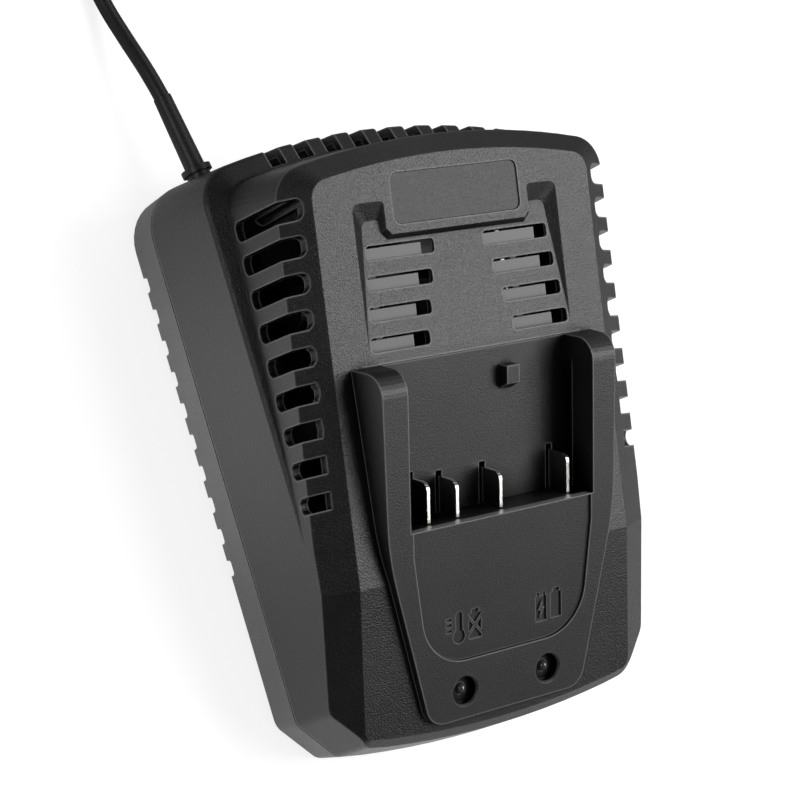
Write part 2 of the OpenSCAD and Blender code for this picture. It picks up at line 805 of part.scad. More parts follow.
module battery_cradle() difference() {
    union() {
        difference() {
            slide_frame() cradle_block();
            intersection() {
                deck_frame() below();
                face_frame() below();
            }
        }
        slide_frame() cradle_seat();
    }
    slide_frame() {
        translate([-bay_half, 0, -bay_depth]) cube([2 * bay_half, 60, 30]);
        both_sides() rail_groove();
        // rounded free ends of the arms
        translate([-far / 2, 0, 0]) rotate([90, 0, 90]) linear_extrude(far)
            polygon(concat(
                [[arm_len + 1, -arm_r], [arm_len + 1, 1], [arm_len - arm_r, 1]],
                arc([arm_len - arm_r, -arm_r], arm_r, 90, 0, 8)
            ));
        translate([0, 0, -panel_recess - panel_t - clear]) linear_extrude(5) panel_outline(clear);
        // hollow under the lower face
        translate([0, 0, -24]) linear_extrude(24 - panel_recess - panel_t - skin_t)
            seat_outline(-apron_wall, -tub_floor - 0.5);
        for (s = [-1, 1]) translate([s * led_x, led_s, 0]) {
            translate([0, 0, -apron]) cylinder(h = 20, r = led_hole_r);
            translate([0, 0, -led_well]) cylinder(h = 20, r = led_well_d / 2);
            translate([0, 0, -0.5]) cylinder(h = 0.6, r1 = led_well_d / 2, r2 = led_well_d / 2 + 0.6);
        }
        for (i = [0:3]) translate([contact_x[i] - 1, -0.2, -tub_z - 1])
            cube([2, blade_len - contact_cut[i] + 1.5, tub_floor + 2]);
        for (x = [-20, 16]) translate([x, 7, -tub_z - 1]) cylinder(h = 3, r = 0.9);
    }
}

// moulded key block on the bay's floor
module key_block() {
    slide_frame() translate([key_x, key_s, -bay_depth])
        rotate([90, 0, 90]) linear_extrude(key_w)
            polygon([[0, -0.2], [key_len, -0.2], [key_len, key_h], [1.9, key_h]]);
}

module cradle_with_key() {
    color([0.06, 0.06, 0.065]) union() {
        battery_cradle();
        key_block();
    }
}

// a battery outline standing on its foot: half width w, height h, and terminals of half width t at each x of tops
module battery_sign(w, h, t, tops) {
    translate([-w, 0]) square([2 * w, h]);
    for (x = tops) translate([x - t, h - 0.1]) square([2 * t, 1.2]);
}

// signs sunk into the panel above the lights: hot or faulty battery on the left, charging and full on the right
module panel_signs() {
    for (y = [-29.25, -27.65, -26.2]) translate([-19.4, y]) square([1.8, 0.8]);
    translate([-16.15, -30.5]) square([2.1, 5.4]);
    translate([-15.1, -25.2]) circle(r = 1.05, $fn = 24);
    translate([-15.2, -30.8]) circle(r = 1.95, $fn = 32);
    difference() {
        translate([-9.9, -32.3]) battery_sign(2, 6.9, 1.1, [0]);
        translate([-9.9, -28.7]) for (a = [48, -48]) rotate(a) translate([-5, -0.4]) square([10, 0.8]);
    }
    difference() {
        translate([12.5, -32.5]) battery_sign(1.85, 6.9, 0.35, [-1.05, 1.05]);
        translate([12.5, -29.2]) polygon([[0.5, 2.6], [-1.1, -0.3], [-0.1, -0.3], [-0.5, -2.6], [1.1, 0.5], [0.1, 0.5]]);
    }
    translate([17.6, -32.4]) battery_sign(1.85, 7.1, 1.1, [0]);
}

module indicator_panel() color([0.05, 0.05, 0.055]) slide_frame() difference() {
    translate([0, 0, -panel_recess - panel_t]) linear_extrude(panel_t) panel_outline(0);
    translate([0, 0, -panel_recess - symbol_depth]) linear_extrude(2) panel_signs();
}

// outline of a contact in the YZ plane: blade on the slide, foot in the holder, leg down to the board
module contact_shape(cut) {
    len_i = blade_len - cut;
    top = blade_h - bay_depth;
    foot = -tub_z - holder_h + 1;
    translate([lip_y, lip_z]) rotate(slide_slope) {
        polygon(concat(
            [[0.3, foot], [len_i, foot]],
            rounded([len_i, foot], [len_i, top], [0.3, top], blade_r, 6),
            [[0.3, top]]
        ));
    }
    translate([leg_y, pcb_z - 1]) square([leg_w, lip_z - pcb_z - tub_z - holder_h + 6]);
}

module contact(i) color([0.8, 0.78, 0.72])
    translate([contact_x[i] - blade_t / 2, 0, 0]) rotate([90, 0, 90]) linear_extrude(blade_t)
        contact_shape(contact_cut[i]);

module terminal_holder() color([0.1, 0.1, 0.1]) difference() {
    slide_frame() translate([contact_x[0] - 4, -1, -tub_z - holder_h - seat])
        cube([contact_x[3] - contact_x[0] + 8, blade_len + 3, holder_h]);
    for (i = [0:3])
        translate([contact_x[i] - blade_t / 2 - seat, 0, 0]) rotate([90, 0, 90])
            linear_extrude(blade_t + 2 * seat) translate([lip_y, lip_z]) rotate(slide_slope)
                translate([0.3 - seat, -tub_z - holder_h - 2]) square([blade_len + 2 * seat, holder_h + 4]);
}

module led(side) {
    base = -panel_recess - panel_t - skin_t - seat;
    foot = [side * led_x, lip_y + led_s * cos(slide_slope) - (base - 1) * sin(slide_slope),
        lip_z + led_s * sin(slide_slope) + (base - 1) * cos(slide_slope)];
    color([0.85, 0.88, 0.85]) union() {
        slide_frame() translate([side * led_x, led_s, 0]) {
            translate([0, 0, base - 1]) cylinder(h = 1, r = led_d / 2 + 0.45);
            translate([0, 0, base - 0.1]) cylinder(h = -base - led_sink - led_d / 2 + 0.1, r = led_d / 2);
            translate([0, 0, -led_sink - led_d / 2]) sphere(r = led_d / 2);
        }
        for (s = [-1.27, 1.27]) {
            knee = foot + [s, 1.6, -3.6];
            tube([[knee[0], knee[1] + clear, pcb_z - 1], knee - [0, 0, 0.3], foot + [s, -0.1, 0.3]], 0.28, 6);
        }
    }
}

// light bars under the deck slots, two grids that lie against the inside of the deck on a rail each
module vent_baffle() color([0.35, 0.35, 0.36]) vent_under() {
    first = slot_first - deck_slot_w / 2 - bar_lap;
    last = slot_first + (slot_rows - 1) * deck_slot_pitch + deck_slot_w / 2 - bar_gap;
    for (i = [0:slot_rows - 1]) {
        y = slot_first + i * deck_slot_pitch - deck_slot_w / 2 - bar_lap;
        inner = slot_inner - i * slot_inner_step;
        outer = slot_outer - i * slot_outer_step;
        for (ends = [[-outer, -inner], [inner, outer]])
            translate([ends[0] - bar_lap, y, -seat - bar_h])
                cube([ends[1] - ends[0] + bar_lap - bar_short, deck_slot_w + bar_lap - bar_gap, bar_h]);
    }
    for (x = [-slot_outer + rail_at, slot_inner + rail_at])
        translate([x, first, -seat - bar_h - rail_d]) cube([rail_w, last - first, rail_d + 0.1]);
}

// ---------- circuit board ----------

module main_pcb() color([0.1, 0.3, 0.15]) difference() {
    translate([-pcb_half, -pcb_back, pcb_z]) cube([2 * pcb_half, pcb_back + pcb_front, pcb_t]);
    for (x = [-post_x, post_x])
        for (y = post_y)
            translate([x, y, pcb_z - 1]) cylinder(h = 4, r = 1.5);
    for (x = contact_x)
        translate([x - blade_t / 2 - clear, leg_y - clear, pcb_z - 1]) cube([blade_t + 2 * clear, leg_w + 2 * clear, 4]);
    for (s = [-1, 1], t = [-1.27, 1.27])
        translate([s * led_x + t, led_leg_y, pcb_z - 1]) cylinder(h = 4, r = 0.4);
    for (x = [-1, 1]) translate([x * boss_x, boss_y[0], pcb_z - 1]) cylinder(h = 4, r = boss_r + 0.5);
    for (x = [-1, 1]) translate([x * boss_x, boss_y[1], pcb_z - 1]) cylinder(h = 4, r = boss_r + 0.5);
}

module pcb_screws() color([0.6, 0.6, 0.62])
    for (x = [-post_x, post_x])
        for (y = post_y)
            translate([x, y, pcb_top + seat]) {
                cylinder(h = 1.6, r = 2.5);
                translate([0, 0, -pcb_t - 4]) cylinder(h = pcb_t + 4.1, r = 1.2);
            }

module transformer_core() color([0.2, 0.2, 0.21]) translate([trafo_x, trafo_y, pcb_top + 4]) difference() {
    translate([-13, -6, 0]) cube([26, 12, 22]);
    for (s = [-1, 1]) translate([s * 6.5 - 2.75, -7, 4]) cube([5.5, 14, 14]);
}

module transformer_bobbin() color([0.12, 0.12, 0.12]) translate([trafo_x, trafo_y, pcb_top + seat]) {
    difference() {
        translate([-12.5, -10, 0]) cube([25, 20, 3.9]);
        for (s = [-1, 1]) translate([s * 4, 0, -1]) cylinder(h = 6, r = 1.5);
    }
    for (z = [8.1, 20.7]) difference() {
        translate([-9, -9.5, z]) cube([18, 19, 1.2]);
        translate([-3.9, -6.2, z - 1]) cube([7.8, 12.4, 4]);
        for (s = [-1, 1]) translate([s * 11.5 - 2.2, -6.2, z - 1]) cube([4.4, 12.4, 4]);
    }
    difference() {
        translate([-4.7, -7.1, 8.2]) cube([9.4, 14.2, 13]);
        translate([-3.9, -6.2, 8]) cube([7.8, 12.4, 14]);
    }
    for (x = [-1, 1]) translate([x * 11.4 - 1, -9.8, 3.8]) cube([2, 3.6, 5.6]);
}

module transformer_winding() color([0.85, 0.7, 0.2]) translate([trafo_x, trafo_y, pcb_top + seat]) difference() {
    translate([-8.6, -9.2, 9.4]) cube([17.2, 18.4, 11.2]);
    translate([-4.8, -7.2, 9]) cube([9.6, 14.4, 12]);
    for (s = [-1, 1]) translate([s * 11.15 - 2, -6.2, 9]) cube([4, 12.4, 12]);
}

module line_choke_core() color([0.3, 0.32, 0.3]) translate([choke_at[0], choke_at[1], pcb_top + choke_at[2]])
    rotate([0, 90, 0]) difference() {
        translate([0, 0, -3]) cylinder(h = 6, r = 8.4);
        translate([0, 0, -4]) cylinder(h = 8, r = 4.4);
    }

// two windings on the choke's ring, open at the top and bottom, each with a foot on the board
module line_choke_winding() color([0.7, 0.35, 0.12]) {
    for (s = [0, 1]) translate([choke_at[0], choke_at[1], pcb_top + choke_at[2]]) mirror([0, s, 0]) {
        intersection() {
            rotate([0, 90, 0]) difference() {
                translate([0, 0, -4.4]) cylinder(h = 8.8, r = 9.8);
                translate([0, 0, -3.1]) cylinder(h = 6.2, r = 8.5);
                translate([0, 0, -5]) cylinder(h = 10, r = 3);
            }
            translate([-6, 1.5, -12]) cube([12, 12, 24]);
        }
        translate([-0.6, 6.6, seat - choke_at[2]]) cube([1.2, 1.2, 5.2]);
    }
    translate([choke_at[0], choke_at[1], pcb_top + seat]) difference() {
        translate([-5, -9, 0]) cube([10, 18, 1]);
        for (s = [-1, 1]) translate([-0.7, s * 7.2 - 0.7, -1]) cube([1.4, 1.4, 4]);
    }
}

module x_capacitor() color([0.75, 0.65, 0.1]) translate([-36, 50.8, pcb_top + seat]) difference() {
    cube([15, 6, 12]);
    translate([1, 1, -1]) cube([13, 4, 1.5]);
}

module fuse() color([0.8, 0.8, 0.8]) translate([-37, 4, pcb_top + 3.2]) {
    rotate([-90, 0, 0]) {
        cylinder(h = 5, r = 2.6);
        translate([0, 0, 5]) cylinder(h = 10, r = 2.4);
        translate([0, 0, 15]) cylinder(h = 5, r = 2.6);
    }
    for (y = [1.5, 17.5]) translate([-2, y, -3.2 + seat]) cube([4, 1, 3]);
}

module bridge_rectifier() color([0.08, 0.08, 0.08]) translate([-30, 12, pcb_top + seat]) {
    translate([0, 0, 2]) cube([9, 7, 3.4]);
    for (x = [1.4, 7])
        for (y = [1, 5.4])
            translate([x, y, 0]) cube([0.7, 0.7, 2.1]);
}

module bulk_capacitor() color([0.08, 0.1, 0.25]) translate([-8, 50.5, pcb_top + seat]) difference() {
    cylinder(h = 26, r = 8);
    translate([0, 0, 25.5]) for (a = [0, 90]) rotate(a) translate([-6, -0.3, 0]) cube([12, 0.6, 2]);
}

module heat_sink_primary() color([0.75, 0.76, 0.78]) translate([24, 14, pcb_top + seat]) {
    cube([2, 34, 24]);
    for (y = [0:8:32]) translate([1.9, y + 0.2, 4]) cube([7, 1.4, 20]);
}

module power_case(h) {
    translate([-5.1, 0, h]) cube([10.2, 4.4, 9]);
    difference() {
        translate([-5.1, 3.1, h + 8.9]) cube([10.2, 1.3, 6.4]);
        translate([0, 2, h + 12.4]) rotate([-90, 0, 0]) cylinder(h = 4, r = 1.8);
    }
    for (x = [-2.54, 0, 2.54]) translate([x - 0.4, 2, 0]) cube([0.8, 0.5, h + 0.1]);
}

module switching_transistor() color([0.08, 0.08, 0.08])
    translate([24 - seat - 4.4, 40, pcb_top + seat]) rotate(-90) power_case(6);

module heat_sink_output() color([0.75, 0.76, 0.78]) translate([-16, 4, pcb_top + seat]) {
    cube([32, 2, 20]);
    for (x = [0:8:24]) translate([x + 0.2, 1.9, 4]) cube([1.4, 6, 16]);
}

module output_diode() color([0.08, 0.08, 0.08])
    translate([-4, 4 - seat - 4.4, pcb_top + seat]) power_case(5);

module output_capacitors() color([0.08, 0.1, 0.25])
    for (x = [24, 35]) translate([x, -2, pcb_top + seat]) difference() {
        cylinder(h = 18, r = 5);
        translate([0, 0, 17.6]) for (a = [0, 90]) rotate(a) translate([-4, -0.25, 0]) cube([8, 0.5, 2]);
    }

module control_chip() color([0.08, 0.08, 0.08]) translate([-6, -42, pcb_top + seat]) {
    translate([0, 2, 0.3]) cube([12, 7.5, 1.9]);
    for (i = [0:7])
        for (y = [0.6, 9.4])
            translate([0.9 + i * 1.35, y, 0]) cube([0.6, 1.5, 0.6]);
}

// ---------- mains cord ----------

module strain_relief() color([0.04, 0.04, 0.04]) cord_axis() difference() {
    union() {
        translate([0, 0, 1.2]) cylinder(h = 1.6, r = 4.2);
        translate([0, 0, -neck_in]) cylinder(h = neck_in + 1.3, r = cord_neck_r);
        translate([0, 0, -neck_in - 2]) cylinder(h = 2.1, r = 4.6);
        translate([0, 0, 2.7]) cylinder(h = sleeve_len - 2.7, r1 = sleeve_r0, r2 = sleeve_r1);
    }
    translate([0, 0, -neck_in - 3]) cylinder(h = sleeve_len + neck_in + 4, r = cord_hole_r);
}

module cord_lead() color([0.03, 0.03, 0.03]) tube(cord_route, cord_r, 10);

module cord_coil() color([0.03, 0.03, 0.03]) translate([coil_at[0], coil_at[1], 0])
    rotate_extrude($fn = 64) round_rect(coil_in, coil_out, 0, coil_h, 2.2);

module cord_tail() color([0.03, 0.03, 0.03]) tube(tail_route, cord_r, 10);

module plug_body() color([0.04, 0.04, 0.04]) difference() {
    translate([plug_at[0], plug_at[1], 0]) linear_extrude(plug_h) polygon(concat(
        [[0, -4], [0, 4]],
        rounded([0, 4], [20, plug_w / 2], [plug_len, plug_w / 2], 20, 6),
        [[plug_len, plug_w / 2 - 2], [plug_len, 2 - plug_w / 2]],
        rounded([plug_len, -plug_w / 2], [20, -plug_w / 2], [0, -4], 20, 6)
    ));
    translate([plug_at[0] - 1, plug_at[1], plug_at[2]]) rotate([0, 90, 0]) cylinder(h = 1.05, r = cord_hole_r);
    for (s = [-1, 1]) translate([plug_at[0] + plug_len - 8, plug_at[1] + s * pin_gap / 2, plug_at[2]])
        rotate([0, 90, 0]) cylinder(h = 9, r = pin_r + seat);
}

module plug_pins() color([0.8, 0.8, 0.82])
    for (s = [-1, 1]) translate([plug_at[0] + plug_len - 8 + seat, plug_at[1] + s * pin_gap / 2, plug_at[2]])
        rotate([0, 90, 0]) {
            cylinder(h = 8 + pin_len - 1, r = pin_r);
            translate([0, 0, 8 + pin_len - 1]) cylinder(h = 1, r1 = pin_r, r2 = pin_r - 0.8);
        }

module cord_clamp() color([0.1, 0.1, 0.1]) difference() {
    translate([clamp_x - clamp_gap - 2.4, clamp_y - 2.4, foot_h + 15.5]) cube([2 * clamp_gap + 4.8, 4.8, 3.2]);
    for (s = [-1, 1])
        translate([clamp_x + s * clamp_gap, clamp_y, foot_h + 14]) cylinder(h = 8, r = 1.2);
    cord_axis() translate([0, 0, -30]) cylinder(h = 40, r = cord_hole_r);
}

module clamp_screws() color([0.6, 0.6, 0.62])
    for (s = [-1, 1]) translate([clamp_x + s * clamp_gap, clamp_y, foot_h + 18.75]) {
        cylinder(h = 1.4, r = 2);
        translate([0, 0, -9]) cylinder(h = 9.1, r = 1);
    }

// the cord's two cores, from its stripped end to the board
module mains_leads() color([0.15, 0.3, 0.6])
    for (s = [0, 1]) {
        a = [-40.1 - 1.6 * s, 64.4, 15.9];
        b = [-37.4 - 1.6 * s, 59.6, 15.6];
        c = [-33 - 5 * s, 58.4, 13.6];
        tube([a, b, c, [c[0] + 0.3, c[1] - 1.6, pcb_top + seat]], 0.7, 8);
    }

base_shell();
upper_shell();
cradle_with_key();  // battery_cradle
indicator_panel();
name_plate();
vent_baffle();
terminal_holder();
contact(0);  // contact_a
contact(1);  // contact_b
contact(2);  // contact_c
contact(3);  // contact_d
led(-1);  // led_left
led(1);  // led_right
main_pcb();
transformer_core();
transformer_bobbin();
transformer_winding();
line_choke_core();
line_choke_winding();
x_capacitor();
fuse();
bridge_rectifier();
bulk_capacitor();
heat_sink_primary();
switching_transistor();
heat_sink_output();
output_diode();
output_capacitors();
control_chip();
mains_leads();
cord_clamp();
clamp_screws();
pcb_screws();
housing_screws();
rubber_feet();
rating_plate();
strain_relief();
cord_lead();
cord_coil();
cord_tail();
plug_body();
plug_pins();
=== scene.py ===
from math import cos, pi, sin

import bpy
from mathutils import Matrix, Vector


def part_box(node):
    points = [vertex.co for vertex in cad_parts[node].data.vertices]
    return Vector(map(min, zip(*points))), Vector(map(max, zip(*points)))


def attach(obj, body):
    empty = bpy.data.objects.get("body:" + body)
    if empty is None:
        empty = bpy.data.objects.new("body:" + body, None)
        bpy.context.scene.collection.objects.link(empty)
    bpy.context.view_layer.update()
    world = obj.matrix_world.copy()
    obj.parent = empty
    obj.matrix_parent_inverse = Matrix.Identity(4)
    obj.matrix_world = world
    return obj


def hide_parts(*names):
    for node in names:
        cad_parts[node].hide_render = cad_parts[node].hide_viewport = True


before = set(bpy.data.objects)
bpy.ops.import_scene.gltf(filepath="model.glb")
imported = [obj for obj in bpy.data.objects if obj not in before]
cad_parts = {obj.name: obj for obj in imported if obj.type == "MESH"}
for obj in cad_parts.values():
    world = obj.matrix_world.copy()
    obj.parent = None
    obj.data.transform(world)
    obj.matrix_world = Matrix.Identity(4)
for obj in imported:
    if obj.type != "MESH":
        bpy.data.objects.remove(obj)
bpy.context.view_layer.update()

# ---- camera --------------------------------------------------------------------------------------
# A long lens looks down on the charger from its left front, from about 600 mm away. The camera is
# rolled a little to one side.

bpy.context.scene.view_settings.view_transform = "Standard"

camera = bpy.data.objects.new("camera", bpy.data.cameras.new("camera"))
camera.data.lens = 99.83
camera.data.sensor_width = 36
camera.data.clip_start = 0.01
camera.matrix_world = Matrix((
    (0.80816818, 0.14970706, -0.56960687, -0.34768),
    (-0.24233531, 0.96601503, -0.08993645, -0.04531),
    (0.53678467, 0.21071964, 0.81698192, 0.51653),
    (0, 0, 0, 1),
))
bpy.context.collection.objects.link(camera)
bpy.context.scene.camera = camera

# ---- sky -----------------------------------------------------------------------------------------
# The studio around the charger. It is white to the camera, dark in the charger's gloss, and gives a
# weak light from all sides.

sky_light = 0.30
sky_mirrored = 0.07
sky_seen = 1

world = bpy.data.worlds.new("studio")
bpy.context.scene.world = world
world.use_nodes = True
sky = world.node_tree
sky.nodes["Background"].inputs["Color"].default_value = (1, 1, 1, 1)
sky.nodes["Background"].inputs["Strength"].default_value = sky_light
sky_path = sky.nodes.new("ShaderNodeLightPath")
sky_shade = sky.nodes["Background"].outputs[0]
for ray, strength in (("Is Glossy Ray", sky_mirrored), ("Is Camera Ray", sky_seen)):
    own_sky = sky.nodes.new("ShaderNodeBackground")
    own_sky.inputs["Strength"].default_value = strength
    sky_mix = sky.nodes.new("ShaderNodeMixShader")
    sky.links.new(sky_path.outputs[ray], sky_mix.inputs[0])
    sky.links.new(sky_shade, sky_mix.inputs[1])
    sky.links.new(own_sky.outputs[0], sky_mix.inputs[2])
    sky_shade = sky_mix.outputs[0]
sky.links.new(sky_shade, sky.nodes["World Output"].inputs["Surface"])

# ---- floor ---------------------------------------------------------------------------------------
# A white table top that keeps the charger's soft shadow. A painted glow that shows only in the
# charger's gloss makes it bright in front of the charger and beside its left flank, fading to dark
# behind it.

floor_half = 3.0
floor_tone = 0.4
floor_glow = 0.78
front_glow = 0.6
front_fades = (0.0, 0.11)
pool_middle = (-0.10, 0.03, 0.0)
pool_radius = 0.08
pool_glow = 0.8

floor_mesh = bpy.data.meshes.new("floor")
floor_mesh.from_pydata(
    [(x * floor_half, y * floor_half, 0) for x, y in ((-1, -1), (1, -1), (1, 1), (-1, 1))],
    [], [(0, 1, 2, 3)])
floor = bpy.data.objects.new("floor", floor_mesh)
bpy.context.collection.objects.link(floor)

floor_white = bpy.data.materials.new("floor_white")
floor_white.use_nodes = True
nodes, links = floor_white.node_tree.nodes, floor_white.node_tree.links
nodes.clear()
matt_white = nodes.new("ShaderNodeBsdfDiffuse")
matt_white.inputs["Color"].default_value = (floor_tone, floor_tone, floor_tone, 1)
white_glow = nodes.new("ShaderNodeEmission")
floor_path = nodes.new("ShaderNodeLightPath")
floor_place = nodes.new("ShaderNodeTexCoord")

floor_axes = nodes.new("ShaderNodeSeparateXYZ")
links.new(floor_place.outputs["Object"], floor_axes.inputs["Vector"])
front_level = nodes.new("ShaderNodeMapRange")
front_level.inputs["From Min"].default_value = front_fades[0]
front_level.inputs["From Max"].default_value = front_fades[1]
front_level.inputs["To Min"].default_value = front_glow
front_level.inputs["To Max"].default_value = 0
links.new(floor_axes.outputs["Y"], front_level.inputs["Value"])

pool_place = nodes.new("ShaderNodeMapping")
pool_place.vector_type = "TEXTURE"
pool_place.inputs["Location"].default_value = pool_middle
pool_place.inputs["Scale"].default_value = (pool_radius, pool_radius, pool_radius)
links.new(floor_place.outputs["Object"], pool_place.inputs["Vector"])
pool = nodes.new("ShaderNodeTexGradient")
pool.gradient_type = "SPHERICAL"
links.new(pool_place.outputs["Vector"], pool.inputs["Vector"])
pool_level = nodes.new("ShaderNodeMath")
pool_level.operation = "MULTIPLY_ADD"
pool_level.inputs[1].default_value = pool_glow
links.new(pool.outputs["Fac"], pool_level.inputs[0])
links.new(front_level.outputs["Result"], pool_level.inputs[2])

# painted reflection: the front glow and the pool glow are seen only in glossy rays
mirrored_glow = nodes.new("ShaderNodeMath")
mirrored_glow.operation = "MULTIPLY"
links.new(floor_path.outputs["Is Glossy Ray"], mirrored_glow.inputs[0])
links.new(pool_level.outputs[0], mirrored_glow.inputs[1])
seen_directly = nodes.new("ShaderNodeMath")
seen_directly.operation = "MAXIMUM"
links.new(floor_path.outputs["Is Camera Ray"], seen_directly.inputs[0])
links.new(floor_path.outputs["Is Transmission Ray"], seen_directly.inputs[1])
glow_level = nodes.new("ShaderNodeMath")
glow_level.operation = "MULTIPLY_ADD"
glow_level.inputs[1].default_value = floor_glow
links.new(seen_directly.outputs[0], glow_level.inputs[0])
links.new(mirrored_glow.outputs[0], glow_level.inputs[2])
links.new(glow_level.outputs[0], white_glow.inputs["Strength"])

matt_and_glow = nodes.new("ShaderNodeAddShader")
links.new(matt_white.outputs[0], matt_and_glow.inputs[0])
links.new(white_glow.outputs[0], matt_and_glow.inputs[1])
floor_out = nodes.new("ShaderNodeOutputMaterial")
links.new(matt_and_glow.outputs[0], floor_out.inputs["Surface"])
floor_mesh.materials.append(floor_white)

# ---- lamps ---------------------------------------------------------------------------------------
# One large softbox over the right side puts the sheen on the deck. A small one in front catches the
# cradle's edges, one at the left lights the flank's edges, and one behind lifts the cable end.

charger_middle = (0, 0, 0.04)


def softbox(name, place, size, watts, target=charger_middle):
    """Rectangular lamp that faces its target."""
    lamp = bpy.data.lights.new(name, "AREA")
    lamp.shape = "RECTANGLE"
    lamp.size, lamp.size_y = size
    lamp.energy = watts
    holder = bpy.data.objects.new(name, lamp)
    holder.location = place
    facing = Vector(target) - Vector(place)
    holder.rotation_euler = facing.to_track_quat("-Z", "Y").to_euler()
    bpy.context.collection.objects.link(holder)


softbox("key_softbox", (0.74, -0.10, 1.04), (0.75, 0.80), 11.9, target=(0, 0.02, 0.04))
softbox("front_strip", (0.74, -0.66, 0.90), (0.12, 0.12), 0.45)
softbox("edge_softbox", (-1.0, 0.12, 0.70), (0.5, 0.5), 2.4)
softbox("back_softbox", (0.65, 0.95, 0.80), (0.6, 0.4), 1.4)

# ---- mains cord ----------------------------------------------------------------------------------
# A round black two-core rubber cord. It leaves the cable end, drops to the table and is put away in
# two layers of turns, wound inwards below and outwards above, with its plug beside them.

MM = 0.001
cord_thick = 4.4
cord_round_steps = 3
lead_points = [
    (-43.5, 78.7, 14.6), (-45.5, 89.9, 13.6), (-47.5, 101, 12.6),
    (-49.4, 111, 10.4), (-51.2, 121, 7.0), (-53.0, 131, 4.0),
    (-54.8, 141, 2.6), (-56.6, 151, 2.3), (-58.0, 160, 2.3),
]
plug_points = [(-12, 209.3, 6.9), (-4, 209.1, 6.95), (4, 209, 7), (10.8, 209, 7)]
coil_middle = (-24, 174)
coil_widest = 35.2
coil_tightest = 17.6
turn_gap = 4.5
lower_layer = 2.55
upper_layer = 7.05


def coil_route(climb=0.3, points_a_turn=40):
    """Turns wound clockwise: inwards on the table, up in part of a turn, and outwards on top."""
    turns = (coil_widest - coil_tightest) / turn_gap
    # the cord leaves over the +Y side, a quarter turn past where it came in
    spare = (2 * turns + climb - 0.25) % 1
    turns -= spare / 2
    whole = 2 * turns + climb
    steps = round(whole * points_a_turn)
    points = []
    for i in range(steps + 1):
        t = whole * i / steps
        if t < turns:
            r, z = coil_widest - turn_gap * t, lower_layer
        elif t < turns + climb:
            k = (t - turns) / climb
            r = coil_widest - turn_gap * turns
            z = lower_layer + (upper_layer - lower_layer) * k * k * (3 - 2 * k)
        else:
            r, z = coil_widest - turn_gap * (whole - t), upper_layer
        angle = pi - 2 * pi * t
        points.append((coil_middle[0] + r * cos(angle), coil_middle[1] + r * sin(angle), z))
    return points


def eased(points, parts=6):
    """Catmull-Rom curve through the points."""
    out = []
    last = len(points) - 1
    for i in range(last):
        a, b, c, d = (Vector(points[min(max(i + k, 0), last)]) for k in (-1, 0, 1, 2))
        for j in range(parts):
            t = j / parts
            out.append(b + (c - a) * t / 2 + (2 * a - 5 * b + 4 * c - d) * t * t / 2
                       + (3 * b - a - 3 * c + d) * t ** 3 / 2)
    return out + [Vector(points[-1])]


winding = coil_route()
cord_line = eased(lead_points + winding[:1])[:-1]
cord_line += [Vector(p) for p in winding]
# the coil's last two points only give the bend its direction and are in the line already
cord_line += eased(winding[-2:] + plug_points)[7:]

cord_curve = bpy.data.curves.new("mains_cord", "CURVE")
cord_curve.dimensions = "3D"
spline = cord_curve.splines.new("POLY")
spline.points.add(len(cord_line) - 1)
for point, place in zip(spline.points, cord_line):
    point.co = (place.x * MM, place.y * MM, place.z * MM, 1)
cord_curve.bevel_depth = cord_thick / 2 * MM
cord_curve.bevel_resolution = cord_round_steps
cord_curve.use_fill_caps = True
cord = bpy.data.objects.new("mains_cord", cord_curve)
bpy.context.collection.objects.link(cord)


def links_of(material):
    material.use_nodes = True
    return material.node_tree.nodes, material.node_tree.links


def noise_on(tree, scale, detail=3.0, rough=0.55, stretch=(1, 1, 1)):
    """Noise on the piece's own coordinates, stretched along its axes."""
    place = tree.nodes.new("ShaderNodeTexCoord")
    turn = tree.nodes.new("ShaderNodeMapping")
    turn.inputs["Scale"].default_value = stretch
    noise = tree.nodes.new("ShaderNodeTexNoise")
    noise.inputs["Scale"].default_value = scale
    noise.inputs["Detail"].default_value = detail
    noise.inputs["Roughness"].default_value = rough
    tree.links.new(place.outputs["Object"], turn.inputs["Vector"])
    tree.links.new(turn.outputs["Vector"], noise.inputs["Vector"])
    return noise.outputs["Fac"]


def ramp_on(tree, source, low, high, from_level=0.3, to_level=0.7):
    """Colour or grey level that runs from low to high between two levels of the source."""
    ramp = tree.nodes.new("ShaderNodeValToRGB")
    stops = ramp.color_ramp.elements
    for stop, level, shade in ((stops[0], from_level, low), (stops[1], to_level, high)):
        stop.position = level
        stop.color = (*shade, 1) if hasattr(shade, "__len__") else (shade, shade, shade, 1)
    tree.links.new(source, ramp.inputs["Fac"])
    return ramp.outputs["Color"]


def multiplied(tree, colour, pattern, share):
    """The colour darkened by a grey pattern, as far as the share says."""
    mix = tree.nodes.new("ShaderNodeMix")
    mix.data_type = "RGBA"
    mix.blend_type = "MULTIPLY"
    mix.inputs["Factor"].default_value = share
    tree.links.new(colour, mix.inputs[6])
    tree.links.new(pattern, mix.inputs[7])
    return mix.outputs[2]


def openness(tree, reach, inside=False):
    """How free a point is within its reach, outwards or into the wall of its own piece."""
    probe = tree.nodes.new("ShaderNodeAmbientOcclusion")
    probe.samples = 8
    probe.inside = inside
    probe.only_local = inside
    probe.inputs["Distance"].default_value = reach
    return probe.outputs["AO"]


